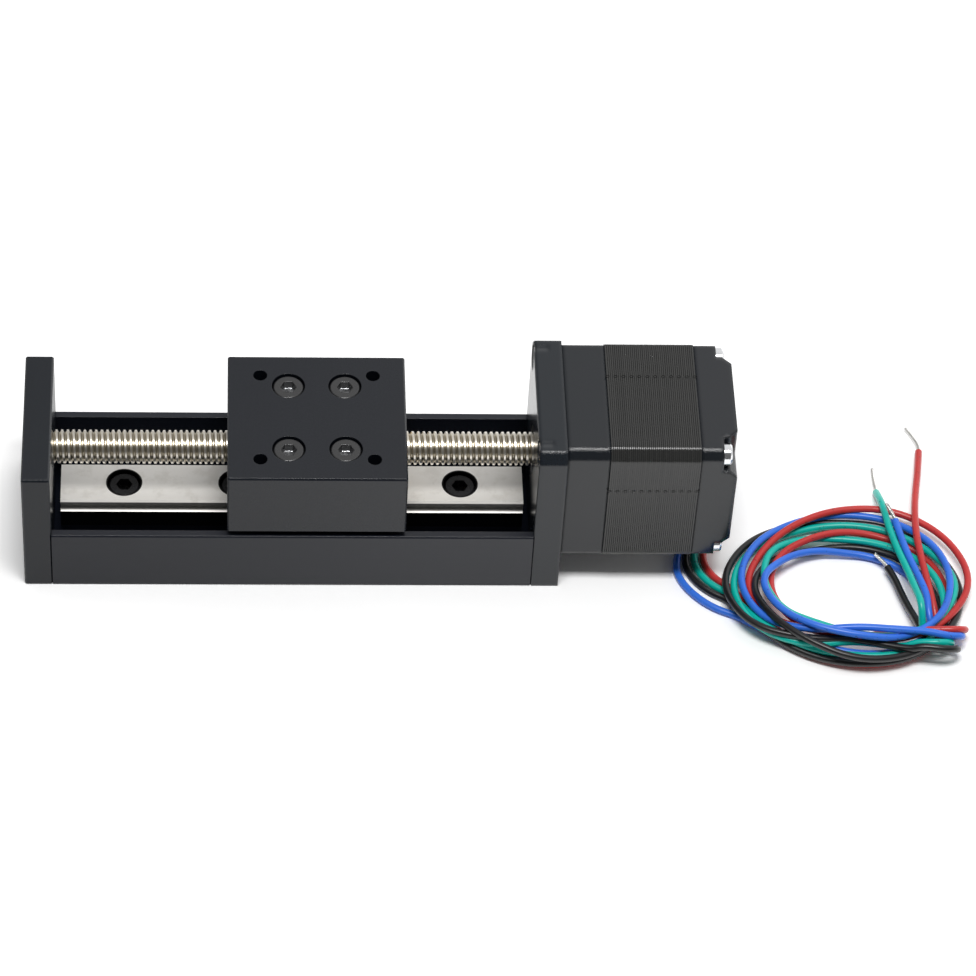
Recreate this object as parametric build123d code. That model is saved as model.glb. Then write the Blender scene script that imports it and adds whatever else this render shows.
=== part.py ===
from build123d import *

# Miniature lead-screw stage, millimetres.
# +X runs along the travel towards the motor, +Z is up.
# The origin is the middle of the channel's underside.
import math
import os

os.makedirs("parts", exist_ok=True)

# Base channel
channel_length = 85.0
channel_width = 30.0
channel_height = 13.0
channel_wall = 1.5
channel_floor = 4.0
port_width = 3.1
port_height = 3.1
port_inset = 3.2
port_axis_height = 3.4
edge_break = 0.25
foot_pitch_x = 60.0
foot_pitch_y = 15.0

# End plates
plate_thickness = 5.0
plate_width = channel_width
idle_plate_rise = 7.5
flange_top_step = 0.1
flange_corner = 1.8
plate_edge_break = 0.3

# Screw axis, over the carriage's underside, and travel
screw_rise = 6.0
carriage_rest = 4.1
running_gap = 0.05
seat_gap = 0.1

# Guide rail and its block
rail_width = 9.0
rail_height = 6.5
rail_end_inset = 1.25
rail_pitch = 20.0
rail_hole_count = 4
rail_edge = 0.3
race_radius = 1.05
race_height = 4.7
race_depth = 0.65
block_width = 20.0
block_clear_floor = 2.0
block_stack_height = 10.0
block_steel_length = 18.9
block_cap_length = 4.4
block_seal_thickness = 0.6
block_rail_gap = 0.25
block_cap_inset = 0.25
block_hole_x = 10.0
block_hole_y = 15.0
block_thread_depth = 3.0
block_edge = 0.5

# Carriage
carriage_length = 31.5
carriage_side_gap = 0.25
carriage_thickness = 14.0
carriage_edge = 0.3
table_pitch = 20.0
table_hole_depth = 5.6
carriage_head_sink = 0.3

# Lead screw
screw_radius = 3.0
screw_bore_gap = 0.7
idle_journal_radius = 2.0
motor_journal_radius = 2.5
clip_groove_depth = 0.35

# Lead nut
nut_radius = 5.0
nut_length = 17.0
nut_flange_thickness = 3.0
nut_flange_height = 11.0
nut_screw_pitch = 15.6
nut_screw_margin = 3.2
nut_head_sink = 0.1

# Machine screws: thread radius, tapping radius, clearance radius, head radius, head height, key width
M3 = dict(thread=1.5, tap=1.25, clear=1.7, head=2.75, tall=3.0, key=2.5)
M25 = dict(thread=1.25, tap=1.025, clear=1.4, head=2.25, tall=2.5, key=2.0)
head_gap = 0.2
head_chamfer_share = 0.08
socket_floor_share = 0.45
screw_tip_gap = 0.2
port_screw_reach = 8.0
port_hole_spare = 1.0
carriage_screw_reach = 2.8
rail_screw_reach = 3.4
rail_head_sink = 0.5
flange_head_sink = 0.2
motor_screw_reach = 3.2
nut_screw_reach = 4.2

# Motor
motor_size = 28.2
bell_step = 0.25
motor_corner = 1.8
front_bell_length = 7.6
stack_length = 15.8
rear_bell_length = 6.6
pilot_radius = 11.0
pilot_height = 2.0
pilot_gap = 0.05
motor_screw_inset = 2.6
bell_cavity_radius = 12.0
front_bell_wall = 1.6
rear_bell_wall = 1.8
corner_pocket_width = 4.45
corner_pocket_depth = 2.6
corner_pocket_round = 1.4
pan_head_radius = 2.0
pan_head_height = 1.5
pan_head_edge = 0.35
cross_depth = 0.45
cross_width = 0.5
cross_span = 2.6
case_screw_end_gap = 0.4
rear_recess_radius = 6.5
rear_recess_depth = 0.4
seat_overlap = 0.2

# Stator and rotor
pole_count = 8
pole_width = 2.6
pole_shoe_depth = 1.0
pole_shoe_angle = 36.0
stator_bore_radius = 8.6
stator_yoke_radius = 12.0
coil_thickness = 1.1
coil_overhang = 1.2
coil_shoe_gap = 0.1
coil_yoke_gap = 0.35
shoe_gap_count = 5
air_gap = 0.1
rotor_tooth_count = 50
rotor_tooth_depth = 0.35
rotor_cup_length = 5.0
rotor_magnet_length = 2.6
rotor_magnet_inset = 0.5

# Ball bearings: bore radius, inner land radius, outer land radius, outer radius, width
IDLE_BEARING = dict(bore=2.0, inner=2.75, outer=3.75, rim=4.5, wide=2.5)
FRONT_BEARING = dict(bore=2.5, inner=3.6, outer=5.4, rim=6.5, wide=4.0)
REAR_BEARING = dict(bore=2.5, inner=3.3, outer=4.6, rim=5.5, wide=3.0)
plate_lip = 1.0
lip_radius = 3.7
clip_thickness = 0.5
clip_radius = 3.6
clip_gap = 0.05
clip_mouth_share = 0.8
clip_lobe_radius = 0.5
clip_lobe_turns = (60, 180, 300)
shaft_end_gap = 0.6
washer_thickness = 0.25
washer_wave = 0.5

# Motor leads, insulated wire
lead_radius = 0.65
lead_lift = 0.05
lead_drop = 1.5
arc_share = 0.45
tip_radius = 0.3
grommet_length = 5.5
grommet_width = 2.4
grommet_depth = 2.0
grommet_stand = 0.5
grommet_edge = 0.15
grommet_back_gap = 3.65
grommet_centre_y = -2.0
lead_pitch = 1.32
coil_centre = (99.2, -16.3)
coil_outer = (22.6, 18.9)
coil_hole_centre = (99.5, -17.0)
coil_hole = (14.2, 8.3)
coil_height = 4.2
coil_round = 1.3

# How far a cutter runs past the face it cuts, and how far joined shapes run into each other
past = 1.0
weld = 0.5

# Sizes that follow from the ones above
axis_height = channel_floor + block_stack_height + screw_rise
idle_plate_height = axis_height + idle_plate_rise
flange_height = axis_height + motor_size / 2 - flange_top_step
rail_length = channel_length - 2 * rail_end_inset
carriage_width = channel_width - 2 * carriage_side_gap
motor_screw_pitch = motor_size - 2 * motor_screw_inset
bell_size = motor_size - 2 * bell_step
corner_pocket_start = bell_size / 2 - corner_pocket_width
port_axis_y = channel_width / 2 - port_inset

# Stations along X
channel_left = -channel_length / 2
channel_right = channel_length / 2
idle_outer_x = channel_left - plate_thickness
motor_face_x = channel_right + plate_thickness
stack_start_x = motor_face_x + front_bell_length
stack_end_x = stack_start_x + stack_length
motor_end_x = stack_end_x + rear_bell_length
grommet_centre_x = motor_end_x - grommet_back_gap
rotor_middle_x = (stack_start_x + stack_end_x) / 2
rail_top = channel_floor + rail_height
carriage_bottom = channel_floor + block_stack_height
carriage_top = carriage_bottom + carriage_thickness
front_bearing_x = motor_face_x + front_bell_wall
rear_bearing_x = motor_end_x - rear_bell_wall - washer_wave - REAR_BEARING["wide"]
idle_bearing_x = channel_left - plate_lip - IDLE_BEARING["wide"]


def save(node, shape):
    export_step(shape, f"parts/{node}.step")


def group(solids):
    return Compound(children=list(solids))


def box(x_span, y_span, z_span):
    sizes = [high - low for low, high in (x_span, y_span, z_span)]
    centre = [(high + low) / 2 for low, high in (x_span, y_span, z_span)]
    return Pos(*centre) * Box(*sizes)


def rod_x(radius, x_start, x_end, y=0.0, z=axis_height):
    """A cylinder along X between two stations."""
    place = Pos((x_start + x_end) / 2, y, z) * Rot(0, 90, 0)
    return place * Cylinder(radius, x_end - x_start)


def rod_z(radius, z_start, z_end, x, y):
    """An upright cylinder between two heights."""
    return Pos(x, y, (z_start + z_end) / 2) * Cylinder(radius, z_end - z_start)


def ring_x(outer, inner, x_start, x_end):
    return rod_x(outer, x_start, x_end) - rod_x(inner, x_start - past, x_end + past)


def corners(pitch_x, pitch_y, x=0.0, y=0.0):
    """Four hole places on a rectangle, round a centre."""
    return [(x + i * pitch_x / 2, y + j * pitch_y / 2) for i in (-1, 1) for j in (-1, 1)]


def chamfered_square(size, corner):
    """The face of a motor lamination, looking along X."""
    outline = Plane.YZ * Pos(0, axis_height) * Rectangle(size, size)
    return chamfer(outline.vertices(), corner)


def socket_screw(size, reach):
    """A socket head cap screw: the head stands on z = 0, the shank hangs below it."""
    head = Pos(0, 0, size["tall"] / 2) * Cylinder(size["head"], size["tall"])
    head = chamfer(head.edges().group_by(Axis.Z)[-1], size["tall"] * head_chamfer_share)
    key = RegularPolygon(size["key"] / 2, 6, major_radius=False)
    socket = extrude(Pos(0, 0, size["tall"] * socket_floor_share) * key, amount=size["tall"])
    shank = Pos(0, 0, -reach / 2) * Cylinder(size["thread"], reach)
    return head - socket + shank


def screw_along_x(size, reach, x, y, z, head_side):
    """A cap screw on an X axis: head_side is -1 for a head towards -X, +1 towards +X."""
    return Pos(x, y, z) * Rot(0, 90 * head_side, 0) * socket_screw(size, reach)


def counterbore_x(size, x_face, depth, x_far, y, z):
    """A clearance hole along X with a counterbore that starts at x_face."""
    step = 1 if x_far > x_face else -1
    pocket = rod_x(size["head"] + head_gap / 2, *sorted((x_face - step * past, x_face + step * depth)), y, z)
    hole = rod_x(size["clear"], *sorted((x_face, x_far + step * past)), y, z)
    return pocket + hole


# ---------------------------------------------------------------- base channel
rail_hole_xs = [(i - (rail_hole_count - 1) / 2) * rail_pitch for i in range(rail_hole_count)]
port_places = [(-port_axis_y, port_axis_height), (port_axis_y, port_axis_height)]


def base_channel():
    """An extruded U with two screw ports in its lower corners."""
    section = Pos(0, channel_height / 2) * Rectangle(channel_width, channel_height)
    section = chamfer(section.vertices(), edge_break)
    trough_width = channel_width - 2 * channel_wall
    trough_height = channel_height - channel_floor + past
    trough = Pos(0, channel_floor + trough_height / 2) * Rectangle(trough_width, trough_height)
    for side in (-1, 1):
        port = Pos(side * (trough_width - port_width) / 2, channel_floor + port_height / 2)
        trough -= port * Rectangle(port_width, port_height)
    section -= trough
    body = extrude(Plane.YZ * section, amount=channel_length / 2, both=True)
    for x in rail_hole_xs:
        body -= rod_z(M3["thread"], -past, channel_floor + past, x, 0)
    for x, y in corners(foot_pitch_x, foot_pitch_y):
        body -= rod_z(M3["tap"], -past, channel_floor + past, x, y)
    for y, z in port_places:
        for side in (-1, 1):
            mouth = side * (channel_length / 2 + past)
            bottom = side * (channel_length / 2 - port_screw_reach - port_hole_spare)
            body -= rod_x(M25["thread"], *sorted((mouth, bottom)), y, z)
    return body


# ---------------------------------------------------------------- end plates
port_head_depth = M25["tall"] + flange_head_sink


def idle_end_plate():
    """The outboard plate, bored from outside for the idle bearing."""
    half = plate_width / 2
    body = box((idle_outer_x, channel_left), (-half, half), (0, idle_plate_height))
    body = chamfer(body.edges(), plate_edge_break)
    body -= rod_x(IDLE_BEARING["rim"], idle_outer_x - past, channel_left - plate_lip)
    body -= rod_x(lip_radius, idle_outer_x, channel_left + past)
    for y, z in port_places:
        body -= counterbore_x(M25, idle_outer_x, port_head_depth, channel_left, y, z)
    return body


def motor_places():
    return [(y, z + axis_height) for y, z in corners(motor_screw_pitch, motor_screw_pitch)]


def motor_flange():
    """The taller plate that carries the motor on its pilot."""
    half = plate_width / 2
    body = box((channel_right, motor_face_x), (-half, half), (0, flange_height))
    top_corners = body.edges().filter_by(Axis.X).group_by(Axis.Z)[-1]
    body = chamfer(top_corners, flange_corner)
    body = chamfer(body.faces().sort_by(Axis.X)[0].edges(), plate_edge_break)
    body -= rod_x(pilot_radius + pilot_gap, motor_face_x - pilot_height - seat_gap, motor_face_x + past)
    body -= rod_x(screw_radius + 2 * screw_bore_gap, channel_right - past, motor_face_x)
    for y, z in port_places:
        body -= counterbore_x(M25, motor_face_x, port_head_depth, channel_right, y, z)
    for y, z in motor_places():
        body -= counterbore_x(M25, channel_right, M25["tall"] + flange_head_sink, motor_face_x, y, z)
    return body


def port_screws(x_seat, head_side):
    reach = port_screw_reach + plate_thickness - port_head_depth
    return group(screw_along_x(M25, reach, x_seat, y, z, head_side) for y, z in port_places)


def motor_screws():
    """Four screws from the flange into the front bell."""
    seat = channel_right + M25["tall"] + flange_head_sink
    reach = motor_face_x - seat + motor_screw_reach
    return group(screw_along_x(M25, reach, seat, y, z, -1) for y, z in motor_places())


# ---------------------------------------------------------------- rail and block
def race_centre_y():
    return rail_width / 2 - race_depth + race_radius


def rail_section(grow=0.0):
    """The rail's section, or the same section grown for a clearance."""
    section = Pos(0, rail_height / 2) * Rectangle(rail_width + 2 * grow, rail_height + 2 * grow)
    section = chamfer(section.vertices().group_by(Axis.Y)[-1], rail_edge)
    for side in (-1, 1):
        section -= Pos(side * race_centre_y(), race_height) * Circle(race_radius - grow)
    return Plane.YZ * Pos(0, channel_floor) * section


def guide_rail():
    body = extrude(rail_section(), amount=rail_length / 2, both=True)
    seat = rail_top - rail_head_sink - M3["tall"]
    for x in rail_hole_xs:
        body -= rod_z(M3["head"] + head_gap, seat, rail_top + past, x, 0)
        body -= rod_z(M3["clear"], channel_floor - past, rail_top, x, 0)
    return body


def rail_screws():
    seat = rail_top - rail_head_sink - M3["tall"]
    reach = seat - channel_floor + rail_screw_reach
    return group(Pos(x, 0, seat) * socket_screw(M3, reach) for x in rail_hole_xs)


def block_slice(x_start, x_end, inset, gap):
    """A stretch of the rail block: a bridge over the rail's sides."""
    half = block_width / 2 - inset
    bottom = channel_floor + block_clear_floor + inset
    top = carriage_bottom - inset
    body = box((x_start, x_end), (-half, half), (bottom, top))
    body = chamfer(body.edges().filter_by(Axis.X), block_edge)
    passage = extrude(Pos(x_start - past, 0, 0) * rail_section(gap), amount=x_end - x_start + 2 * past)
    return body - passage


def bearing_block():
    """The steel body of the ball carriage, tapped for the carriage screws."""
    half = block_steel_length / 2
    body = block_slice(carriage_rest - half, carriage_rest + half, 0, block_rail_gap)
    for x, y in corners(block_hole_x, block_hole_y, carriage_rest):
        body -= rod_z(M3["thread"], carriage_bottom - block_thread_depth, carriage_bottom + past, x, y)
    return body


def block_end_cap(side):
    near = block_steel_length / 2
    ends = sorted((carriage_rest + side * near, carriage_rest + side * (near + block_cap_length)))
    return block_slice(*ends, block_cap_inset, block_rail_gap)


def block_end_seal(side):
    near = block_steel_length / 2 + block_cap_length
    ends = sorted((carriage_rest + side * near, carriage_rest + side * (near + block_seal_thickness)))
    return block_slice(*ends, 2 * block_cap_inset, running_gap)


# ---------------------------------------------------------------- carriage
carriage_head_seat = carriage_top - carriage_head_sink - M3["tall"]
nut_face_x = carriage_rest + carriage_length / 2
nut_seat_x = nut_face_x - nut_flange_thickness
nut_flange_length = nut_screw_pitch + 2 * nut_screw_margin


def nut_outline(grow):
    shape = SlotOverall(nut_flange_length + 2 * grow, nut_flange_height + 2 * grow)
    return Plane.YZ * Pos(0, axis_height) * shape


def carriage_block():
    """The table: counterbored for its own screws and tapped at four corners."""
    half_x, half_y = carriage_length / 2, carriage_width / 2
    x_span = (carriage_rest - half_x, carriage_rest + half_x)
    body = box(x_span, (-half_y, half_y), (carriage_bottom, carriage_top))
    body = chamfer(body.edges(), carriage_edge)
    for x, y in corners(block_hole_x, block_hole_y, carriage_rest):
        body -= rod_z(M3["head"] + head_gap, carriage_head_seat, carriage_top + past, x, y)
        body -= rod_z(M3["clear"], carriage_bottom - past, carriage_top, x, y)
    for x, y in corners(table_pitch, table_pitch, carriage_rest):
        body -= rod_z(M3["tap"], carriage_top - table_hole_depth, carriage_top + past, x, y)
    body -= rod_x(screw_radius + screw_bore_gap, carriage_rest - half_x - past, nut_face_x)
    body -= rod_x(nut_radius, nut_seat_x - nut_length, nut_face_x)
    body -= extrude(Pos(nut_seat_x, 0, 0) * nut_outline(seat_gap), amount=nut_flange_thickness + past)
    for side in (-1, 1):
        y = side * nut_screw_pitch / 2
        body -= rod_x(M25["thread"], nut_seat_x - nut_screw_reach, nut_face_x, y)
    return body


def carriage_screws():
    reach = carriage_head_seat - carriage_bottom + carriage_screw_reach
    return group(Pos(x, y, carriage_head_seat) * socket_screw(M3, reach)
                 for x, y in corners(block_hole_x, block_hole_y, carriage_rest))


nut_web = nut_flange_thickness / 2


def lead_nut():
    """A brass nut with an obround flange let into the carriage."""
    body = extrude(Pos(nut_seat_x, 0, 0) * nut_outline(0), amount=nut_flange_thickness)
    body += rod_x(nut_radius, nut_seat_x - nut_length, nut_seat_x)
    body -= rod_x(screw_radius + running_gap, nut_seat_x - nut_length - past, nut_face_x + past)
    for side in (-1, 1):
        y = side * nut_screw_pitch / 2
        body -= counterbore_x(M25, nut_face_x, nut_flange_thickness - nut_web, nut_seat_x, y, axis_height)
    return body


def nut_screws():
    """Two low heads sunk in the flange, screwed into the carriage."""
    low_head = dict(M25, tall=nut_web - nut_head_sink)
    reach = nut_web + nut_screw_reach - screw_tip_gap
    seat = nut_seat_x + nut_web
    places = [side * nut_screw_pitch / 2 for side in (-1, 1)]
    return group(screw_along_x(low_head, reach, seat, y, axis_height, 1) for y in places)


# ---------------------------------------------------------------- screw shaft
shoulder_x = idle_bearing_x + IDLE_BEARING["wide"]
thread_end_x = motor_face_x - pilot_height / 2
journal_end_x = idle_bearing_x - clip_gap - clip_thickness - shaft_end_gap
shaft_tail_x = rear_bearing_x + REAR_BEARING["wide"] + shaft_end_gap / 2
clip_x = idle_bearing_x - clip_gap - clip_thickness


def lead_screw():
    """The motor's own shaft, drawn out as the screw: plain at the thread's outer size."""
    body = rod_x(screw_radius, shoulder_x, thread_end_x)
    body += rod_x(idle_journal_radius, journal_end_x, shoulder_x)
    body += rod_x(motor_journal_radius, thread_end_x, shaft_tail_x)
    groove_radius = idle_journal_radius - clip_groove_depth
    body -= ring_x(idle_journal_radius + past, groove_radius, clip_x, clip_x + clip_thickness)
    return body


def retaining_clip():
    """An E shape that snaps into the journal's groove."""
    inner = idle_journal_radius - clip_groove_depth
    body = ring_x(clip_radius, inner, clip_x, clip_x + clip_thickness)
    mouth_half = inner * clip_mouth_share
    x_span = (clip_x - past, clip_x + past)
    body -= box(x_span, (-mouth_half, mouth_half), (axis_height - clip_radius - past, axis_height))
    for turn in clip_lobe_turns:
        a = math.radians(turn + 90)
        reach = (clip_radius + idle_journal_radius) / 2
        y, z = reach * math.cos(a), axis_height + reach * math.sin(a)
        body -= rod_x(clip_lobe_radius, *x_span, y, z)
    return body


def outer_ring(bearing, x_start):
    return ring_x(bearing["rim"], bearing["outer"], x_start, x_start + bearing["wide"])


def inner_ring(bearing, x_start):
    return ring_x(bearing["inner"], bearing["bore"], x_start, x_start + bearing["wide"])


# ---------------------------------------------------------------- motor
def bell(x_start, x_end):
    face = chamfered_square(bell_size, motor_corner - bell_step)
    return extrude(Pos(x_start, 0, 0) * face, amount=x_end - x_start)


def motor_front_bell():
    """The front end bell with its pilot, bearing seat and four tapped corners."""
    body = bell(motor_face_x, stack_start_x)
    body += rod_x(pilot_radius, motor_face_x - pilot_height, motor_face_x)
    body -= rod_x(screw_radius + screw_bore_gap, motor_face_x - pilot_height - past, front_bearing_x)
    seat_end = front_bearing_x + FRONT_BEARING["wide"]
    body -= rod_x(FRONT_BEARING["rim"], front_bearing_x, stack_start_x + past)
    body -= rod_x(bell_cavity_radius, seat_end, stack_start_x + past)
    for y, z in motor_places():
        body -= rod_x(M25["thread"], motor_face_x - past, stack_start_x + past, y, z)
    return body


def sector(radius, angle_width, turn):
    """A pie slice in the lamination's plane, wide enough to reach the radius."""
    half = math.radians(angle_width / 2)
    tip = (radius * math.cos(half), radius * math.sin(half))
    slice_face = make_face(Polyline((0, 0), (tip[0], -tip[1]), tip, close=True))
    return Rot(0, 0, turn) * slice_face


def stator_stack():
    """Laminations: a square yoke, eight poles, and shoes with small teeth."""
    yoke = Rectangle(motor_size, motor_size)
    yoke = chamfer(yoke.vertices(), motor_corner) - Circle(stator_yoke_radius)
    tooth_step = 360 / rotor_tooth_count
    slot_width = stator_bore_radius * math.radians(tooth_step) / 2
    slot = Pos(stator_bore_radius, 0) * Rectangle(2 * rotor_tooth_depth, slot_width)
    for i in range(pole_count):
        turn = i * 360 / pole_count
        arm_length = stator_yoke_radius - stator_bore_radius + weld
        arm = Pos(stator_bore_radius + arm_length / 2, 0) * Rectangle(arm_length, pole_width)
        yoke += Rot(0, 0, turn) * arm
        shoe = Circle(stator_bore_radius + pole_shoe_depth) - Circle(stator_bore_radius)
        yoke += shoe & sector(2 * stator_bore_radius, pole_shoe_angle, turn)
        for k in range(shoe_gap_count):
            yoke -= Rot(0, 0, turn + (k - (shoe_gap_count - 1) / 2) * tooth_step) * slot
    for y, z in corners(motor_screw_pitch, motor_screw_pitch):
        yoke -= Pos(y, z) * Circle(M25["clear"])
    face = Plane.YZ * Pos(0, axis_height) * yoke
    return extrude(Pos(stack_start_x, 0, 0) * face, amount=stack_length)


def stator_coils():
    """One winding on each pole, seen as a solid band round the arm."""
    radial_start = stator_bore_radius + pole_shoe_depth + coil_shoe_gap
    radial_end = stator_yoke_radius - coil_yoke_gap
    span = radial_end - radial_start
    outside = Box(stack_length + 2 * coil_overhang, span, pole_width + 2 * coil_thickness)
    inside = Box(stack_length + 2 * seat_gap, span + past, pole_width + 2 * seat_gap)
    winding = Pos(0, (radial_start + radial_end) / 2, 0) * (outside - inside)
    middle = Pos(rotor_middle_x, 0, axis_height)
    return group(middle * Rot(i * 360 / pole_count, 0, 0) * winding for i in range(pole_count))


def motor_rear_bell():
    """The rear end bell: stepped corners for the case screws and a slot for the leads."""
    body = bell(stack_end_x, motor_end_x)
    pocket_span = corner_pocket_width + past
    pocket_x = motor_end_x - corner_pocket_depth
    for i in (-1, 1):
        for j in (-1, 1):
            y_span = sorted((i * corner_pocket_start, i * (corner_pocket_start + pocket_span)))
            z_span = sorted((j * corner_pocket_start, j * (corner_pocket_start + pocket_span)))
            z_span = [axis_height + z for z in z_span]
            body -= box((pocket_x, motor_end_x + past), y_span, z_span)
    rear_face = body.faces().filter_by(Axis.X).sort_by(Axis.X)[-1]
    pocket_edges = rear_face.edges().filter_by(lambda edge: edge.length < corner_pocket_width + weld)
    body = chamfer(pocket_edges, corner_pocket_round)
    body -= rod_x(rear_recess_radius, motor_end_x - rear_recess_depth, motor_end_x + past)
    seat_start = rear_bearing_x
    body -= rod_x(REAR_BEARING["rim"], seat_start, motor_end_x - rear_bell_wall)
    body -= rod_x(bell_cavity_radius, stack_end_x - past, seat_start + seat_overlap)
    for y, z in motor_places():
        body -= rod_x(M25["clear"], stack_end_x - past, motor_end_x, y, z)
    return body - lead_slot()


def lead_slot():
    """The window in the bell's underside that the leads come out of."""
    half_x = grommet_length / 2
    half_y = grommet_width / 2
    bottom = axis_height - bell_size / 2
    x_span = (grommet_centre_x - half_x, grommet_centre_x + half_x)
    y_span = (grommet_centre_y - half_y, grommet_centre_y + half_y)
    return box(x_span, y_span, (bottom - grommet_stand, bottom + grommet_depth))


def lead_grommet():
    """A rubber block in the lead window, standing a little proud below."""
    body = lead_slot()
    return chamfer(body.edges().group_by(Axis.Z)[0], grommet_edge)


def case_screws():
    """Four long pan head screws that clamp the bells to the stack."""
    head_x = motor_end_x - corner_pocket_depth
    tip_x = motor_face_x + motor_screw_reach + case_screw_end_gap
    screws = []
    for y, z in motor_places():
        head = rod_x(pan_head_radius, head_x, head_x + pan_head_height, y, z)
        head = chamfer(head.edges().group_by(Axis.X)[-1], pan_head_edge)
        face = Pos(head_x + pan_head_height, y, z)
        head -= face * Box(2 * cross_depth, cross_width, cross_span)
        head -= face * Box(2 * cross_depth, cross_span, cross_width)
        screws.append(head + rod_x(M25["thread"], tip_x, head_x, y, z))
    return group(screws)


rotor_radius = stator_bore_radius - air_gap


def rotor_cup(x_start, phase):
    """A toothed rotor half: fifty teeth, half a tooth out of step with the other half."""
    disc = Circle(rotor_radius) - Circle(motor_journal_radius)
    gap_width = rotor_radius * math.pi / rotor_tooth_count
    gap = Pos(rotor_radius, 0) * Rectangle(2 * rotor_tooth_depth, gap_width)
    for i in range(rotor_tooth_count):
        disc -= Rot(0, 0, (i + phase) * 360 / rotor_tooth_count) * gap
    face = Plane.YZ * Pos(0, axis_height) * disc
    return extrude(Pos(x_start, 0, 0) * face, amount=rotor_cup_length)


def rotor_magnet():
    half = rotor_magnet_length / 2
    rim = rotor_radius - rotor_magnet_inset
    return ring_x(rim, motor_journal_radius, rotor_middle_x - half, rotor_middle_x + half)


def preload_washer():
    """A wave washer behind the rear bearing, drawn as a dished ring."""
    start = rear_bearing_x + REAR_BEARING["wide"]
    outer = REAR_BEARING["rim"] - seat_gap
    inner = REAR_BEARING["outer"]
    profile = Polyline((start, inner), (start + washer_thickness, inner), (start + washer_wave, outer),
                       (start + washer_wave - washer_thickness, outer), close=True)
    return Pos(0, 0, axis_height) * revolve(Plane.XZ * make_face(profile), Axis.X)


# ---------------------------------------------------------------- leads
lead_names = ["blue", "black", "green", "red"]
floor_height = lead_radius + lead_lift
lead_exit_z = axis_height - bell_size / 2 - grommet_stand
lead_exit_xs = [
    grommet_centre_x + (i - (len(lead_names) - 1) / 2) * lead_pitch for i in range(len(lead_names))
]
lead_routes = {
    "blue": [(71.4, -3.0, 2.5), (70.3, -5.3, 1.2), (69.4, -8.3, floor_height),
             (68.9, -11.9, floor_height), (70.1, -15.3, floor_height), (72.6, -18.5, floor_height),
             (75.6, -20.9, floor_height), (79.1, -22.4, floor_height)],
    "black": [(72.8, -3.0, 2.5), (71.7, -5.3, 1.2), (70.9, -8.0, floor_height),
              (70.7, -11.0, floor_height), (72.0, -14.1, floor_height), (74.7, -17.0, floor_height),
              (78.2, -18.9, floor_height)],
    "green": [(74.2, -3.0, 2.5), (73.1, -5.2, 1.2), (72.4, -7.8, floor_height),
              (72.3, -10.5, floor_height), (73.6, -13.4, floor_height), (75.4, -15.5, floor_height),
              (77.8, -17.1, floor_height)],
    "red": [(75.6, -3.0, 2.5), (74.8, -5.1, 1.2), (74.0, -7.5, floor_height),
            (74.0, -9.9, floor_height), (74.9, -12.3, floor_height), (76.3, -14.2, floor_height),
            (78.1, -15.4, floor_height)],
}
end_routes = {
    "blue": [(113.9, -24.6, 3.6), (113.3, -20.4, 2.9), (112.0, -15.8, 2.9), (110.6, -11.3, 4.2),
             (109.6, -7.0, 4.9), (108.9, -3.3, 4.9)],
    "black": [(111.0, -25.0, 3.2), (109.9, -21.4, 2.2), (108.9, -17.7, 1.6), (108.1, -14.4, 1.5),
              (107.0, -11.9, 1.9)],
    "green": [(112.2, -22.9, 3.3), (111.0, -18.6, 2.4), (110.0, -14.0, 2.9), (108.8, -9.6, 4.4),
              (107.8, -5.1, 4.9), (107.2, -0.6, 4.4), (106.9, 3.3, 2.2), (106.8, 6.9, 0.9)],
    "red": [(115.9, -21.9, 4.4), (114.1, -17.1, 4.9), (113.0, -12.2, 5.2), (112.5, -6.4, 5.3),
            (112.8, -0.4, 4.8), (113.6, 5.1, 2.9), (114.7, 11.0, 1.2), (115.6, 17.1, 0.8)],
}
tip_ends = {
    "blue": (107.4, -0.4, 6.2),
    "black": (104.8, -9.6, 2.9),
    "green": (106.6, 12.9, 0.7),
    "red": (113.7, 23.0, 0.7),
}


def bend_radii(points):
    """The largest arc that each corner's two runs leave room for."""
    radii = []
    for a, b, c in zip(points, points[1:], points[2:]):
        before, after = Vector(*b) - Vector(*a), Vector(*c) - Vector(*b)
        shorter = min(before.length, after.length)
        half_turn = math.radians(before.get_angle(after) / 2)
        radii.append(arc_share * shorter / math.tan(half_turn))
    return radii


def lead_tube(label, points):
    """A round wire along straight runs and tangent arcs."""
    radii = bend_radii(points)
    path = FilletPolyline(*points, radius=radii)
    start = Plane(origin=points[0], z_dir=path % 0)
    tube = sweep(start * Circle(lead_radius), path=path)
    expected = math.pi * lead_radius**2 * path.length
    print(f"{label}: length {path.length:.1f}, radii {min(radii):.1f} to {max(radii):.1f}, "
          f"volume ratio {tube.volume / expected:.4f}")
    return tube


def lead_coil():
    """The outer shape of the loose turns: a low oval ring."""
    outline = Pos(*coil_centre) * Ellipse(*coil_outer) - Pos(*coil_hole_centre) * Ellipse(*coil_hole)
    ring = extrude(outline, amount=coil_height)
    return chamfer(ring.edges().group_by(Axis.Z)[-1], coil_round)


def bare_tips():
    """The stripped and tinned ends of the four wires."""
    tips = []
    for name in lead_names:
        start = Vector(*end_routes[name][-1])
        along = Vector(*tip_ends[name]) - start
        place = Plane(origin=start, z_dir=along.normalized())
        tips.append(extrude(place * Circle(tip_radius), amount=along.length))
    return group(tips)


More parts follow.
